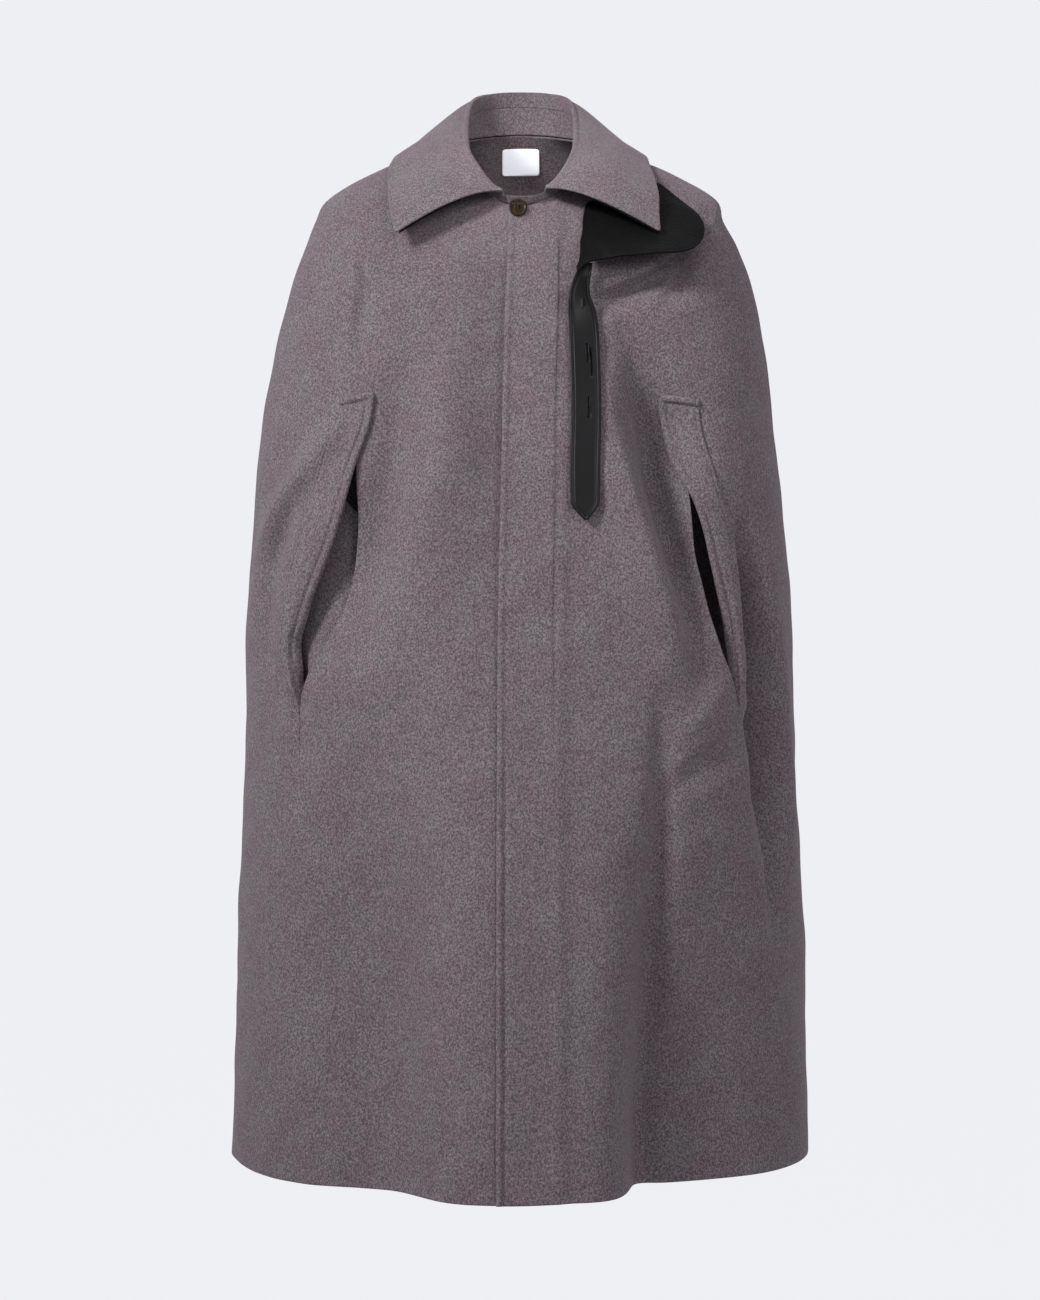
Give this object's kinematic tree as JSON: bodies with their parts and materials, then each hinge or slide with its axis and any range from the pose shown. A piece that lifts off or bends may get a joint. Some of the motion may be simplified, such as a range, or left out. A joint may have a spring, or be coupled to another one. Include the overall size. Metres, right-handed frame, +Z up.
{
  "type": "wool cape coat",
  "caption": "Long hollow cape coat of felted wool, standing as worn, with arm slits, a wide turn-down collar, a leather throat tab and a neck button.",
  "frame": {"origin": "level between the two side-neck points, on the centre line, where the wearer's shoulders carry the coat", "axes": "+Z up, -Y out of the front, +X towards the wearer's left side"},
  "size_m": [0.5902, 0.4665, 1.1116],
  "materials": {
    "felted_wool": "brushed felted wool, matt, heathered",
    "grained_leather": "pebble-grained, semi-matt",
    "smooth_leather": "smooth, semi-matt",
    "polished_horn": "polished, mottled",
    "label_satin": "bare woven satin"
  },
  "bodies": {
    "root": {"front_left": "felted_wool", "front_right": "felted_wool", "back_left": "felted_wool", "back_right": "felted_wool", "collar_stand": "felted_wool", "collar_leaf": "felted_wool", "under_collar": "grained_leather", "slit_welt_right": "felted_wool", "slit_welt_left": "felted_wool", "tab_band": "grained_leather", "tab_strap": "smooth_leather", "neck_button": "polished_horn", "neck_label": "label_satin"}
  },
  "joints": []
}
